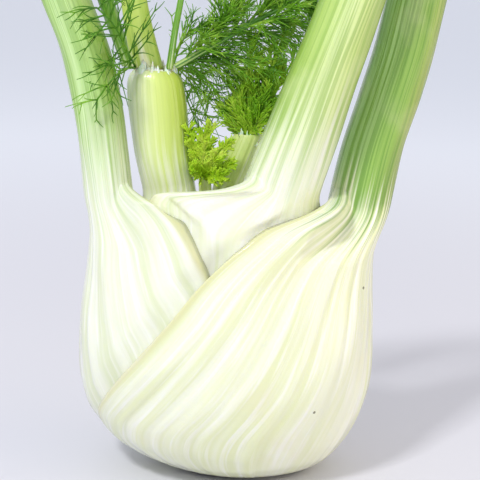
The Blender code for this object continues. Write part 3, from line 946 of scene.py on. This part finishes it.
# %% Leaf over the top, along the right side stem
stem_line = resample([(-28.4, 7.6, 142), (-14, 11.5, 149.6), (-2.4, 14, 156.7), (10.8, 16, 163.8),
                      (25, 18, 170)], 16)
twigs = grow(stem_line[None], 15, 20, 38, 0.05, 31, first=0.0, wobble=0.45)
sprigs = grow(twigs, 6, 11, 27, 0.1, 32, wobble=0.35)
threads = grow(sprigs, 3, 8, 20, 0.1, 34, wobble=0.3)
build_threads("top_feathery_threads", [(twigs, 0.4, 0.25), (sprigs, 0.27, 0.17), (threads, 0.21, 0.1)],
              GROWN_GREEN)

# %% [markdown]
# ## The leaf over the left stalk
# An older, darker leaf hangs forward over the outer left stalk. It has two arms, one rising and one
# hanging, with few and long threads, so the stalk shows between them.

# %% Leaf over the outer left stalk
left_line = resample([(-41, 2, 141), (-44, -8, 149), (-47, -15, 156), (-52, -17, 161)], 16)
twigs = grow(left_line[None], 8, 17, 58, 0.05, 41, first=0.1)
sprigs = grow(twigs, 3, 9, 26, 0.1, 43, wobble=0.4)
down_line = resample([(-41, 2, 141), (-44, -10, 141), (-47, -16, 138), (-52, -17, 131)], 16)
low_twigs = grow(down_line[None], 5, 13, 50, 0.05, 44, first=0.2)
low_sprigs = grow(low_twigs, 2, 8, 26, 0.1, 45, wobble=0.4)
piece = build_threads("left_feathery_threads", [
    (np.stack([left_line, down_line]), 0.45, 0.28), (twigs, 0.32, 0.2), (sprigs, 0.24, 0.11),
    (low_twigs, 0.3, 0.2), (low_sprigs, 0.22, 0.11)], OLD_GREEN)
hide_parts("left_feathery_leaf")

# %% [markdown]
# ## Threads between the stalks
# From the collar five fine stems hang into the gap between the two inner stalks, with open, curling
# threads. Each stem has its own end point, and the threads do the rest.

# %% Open threads between the stalks
HANGING = ((0, 0), (3, 4), (-2, -5), (-5, -7), (4, -4))  # where each stem ends: right, up (mm)
middle_lines = np.stack([resample([(-27, 8, 141), (-20 + dx, 12, 140 + dz),
                                   (-14 + dx, 14, 133 + 2 * dz)], 12) for dx, dz in HANGING])
twigs = grow(middle_lines, 5, 11, 40, 0.08, 51, wobble=0.45)
threads = grow(twigs, 3, 9, 26, 0.1, 52, wobble=0.4)
piece = build_threads("middle_feathery_threads", [
    (middle_lines, 0.34, 0.24), (twigs, 0.26, 0.18), (threads, 0.2, 0.1)], GROWN_GREEN)
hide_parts("middle_feathery_leaf")

# %% [markdown]
# ## The dense tuft
# The short heart leaf still carries its own feathery end. It is young, so its threads are short, thick
# and packed. Eleven arms start close together on the torn collar and part like a brush.

# %% Dense tuft on the heart leaf
TUFT = ((-7, -2, 3), (-2, 1, 13), (2, -1, 7), (6, 2, 17), (-4, 3, 5), (-10, 0, -3), (-3, 0, 21),
        (9, 1, 25), (3, -3, -1), (12, 0, 14), (7, -2, 10))  # where each arm ends: right, back, up (mm)
tuft_lines = np.stack([resample([(-1.5, 13, 116), (-1 + dx * 0.4, 14 + dy, 122 + dz * 0.3),
                                 (dx + 1, 16 + dy, 130 + dz)], 10) for dx, dy, dz in TUFT])
twigs = grow(tuft_lines, 8, 8.5, 30, -0.05, 61, wobble=0.25)
threads = grow(twigs, 6, 5.0, 20, -0.05, 62, wobble=0.25)
piece = build_threads("right_feathery_threads", [
    (tuft_lines, 0.7, 0.4), (twigs, 0.42, 0.3), (threads, 0.34, 0.16)], MID_GREEN)
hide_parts("right_feathery_leaf")

# %% [markdown]
# ## The young leaf
# The youngest leaf has only just unfolded: a bright lime tuft with the shortest and thickest threads of
# all. The same rule makes it, with smaller numbers.

# %% Bright young leaf in the heart
YOUNG = ((-4, -3, 4), (-1, -4, 7), (3, -3, 0), (6, -1, 4), (-6, 0, 0), (1, 2, 9), (-3, -4, -5),
         (5, -4, -7), (-5, -2, 9), (7, -2, -3))     # where each arm ends: right, back, up (mm)
young_lines = np.stack([resample([(-16.8, 3, 103), (-16.6 + dx * 0.5, 2 + dy * 0.5, 107 + dz * 0.4),
                                  (-16 + dx * 1.2, 1 + dy, 112 + dz)], 10) for dx, dy, dz in YOUNG])
twigs = grow(young_lines, 8, 4.6, 28, -0.05, 71, first=0.2, wobble=0.2)
threads = grow(twigs, 6, 3.2, 20, -0.05, 72, wobble=0.2)
piece = build_threads("young_feathery_threads", [
    (young_lines, 0.7, 0.45), (twigs, 0.48, 0.36), (threads, 0.42, 0.2)], YOUNG_GREEN)
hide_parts("young_feathery_leaf")

# %% [markdown]
# ## The floor
# The bulb stands on a pale matt floor, like a painted table top, which gives the eye only a soft shadow
# and a little light from below. Its colour is painted light and shade: greyer near the bulb and lighter
# further off, so that it ends without a hard line.

# %% Floor
REACH = 30  # m, half the floor's side
floor_mesh = bpy.data.meshes.new("pale_floor")
floor_mesh.from_pydata([(-REACH, -REACH, 0), (REACH, -REACH, 0), (REACH, REACH, 0), (-REACH, REACH, 0)],
                       [], [(0, 1, 2, 3)])
floor = add_object("pale_floor", floor_mesh)
material, tree, shader, place = new_material("matt_floor_painted_light_fade", {"Roughness": 0.7})
away = add_node(tree, "ShaderNodeVectorMath", {"operation": "LENGTH"}, links={0: place}).outputs["Value"]
# painted light and shade: the floor's colour is greyer near the bulb and lighter further off
tree.links.new(ramp(tree, spread(tree, away, 0.1, 1.0), [(0.0, "#D6D6DE"), (1.0, "#F4F7FF")]),
               shader.inputs["Base Color"])
floor_mesh.materials.append(material)
print("floor at z = 0")

# %% [markdown]
# ## Lamps and sky
# One small, strong lamp stands in front on the left and above, and gives the wax its highlights. A wide,
# weak and warm one on the right keeps that side from going dark. The rest is an even, nearly white sky.

# %% Lamps and sky
AIM_LAMPS = (0, 0, 0.08)  # both lamps look at the middle of the bulb


def soft_lamp(name, place, size, power, hex_colour):
    """A square area lamp turned towards the bulb."""
    data = bpy.data.lights.new(name, "AREA")
    data.size = size
    data.energy = power
    data.color = linear(hex_colour)[:3]
    lamp = add_object(name, data)
    lamp.location = place
    towards = np.array(AIM_LAMPS) - np.array(place)
    lamp.rotation_euler = Vector(towards).to_track_quat("-Z", "Y").to_euler()


soft_lamp("key_lamp", (-0.45, -0.65, 0.95), size=0.16, power=7.4, hex_colour="#FFFFFF")
soft_lamp("fill_lamp", (0.9, -0.2, 0.4), size=0.8, power=3.0, hex_colour="#FFE4BC")
world = bpy.data.worlds.new("studio_sky")
world.use_nodes = True
sky = world.node_tree.nodes["Background"]
sky.inputs["Color"].default_value = linear("#F3F5FC")
sky.inputs["Strength"].default_value = 0.82
bpy.context.scene.world = world
bpy.context.scene.view_settings.view_transform = "Standard"
print("two lamps and a sky")

# %% [markdown]
# ## The camera
# The camera looks slightly down from the front and is turned a little about its own axis. It stands
# near, like the eye of a cook, so what lies further back looks a little smaller.

# %% Camera
ELEVATION, ROLL = math.radians(12), math.radians(2)
DISTANCE, AIM = 0.42, np.array([-0.0033, 0, 0.0825])
backward = np.array([0, -math.cos(ELEVATION), math.sin(ELEVATION)])
level_up = np.array([0, math.sin(ELEVATION), math.cos(ELEVATION)])
right = math.cos(ROLL) * np.array([1.0, 0, 0]) + math.sin(ROLL) * level_up
upward = -math.sin(ROLL) * np.array([1.0, 0, 0]) + math.cos(ROLL) * level_up
camera_data = bpy.data.cameras.new("camera")
camera_data.lens, camera_data.sensor_width = 90, 36
camera = add_object("camera", camera_data)
turned = Matrix([right, upward, backward]).transposed().to_4x4()
turned.translation = (AIM + DISTANCE * backward).tolist()
camera.matrix_world = turned
bpy.context.scene.camera = camera
print("camera at", np.round(camera.location, 3).tolist())
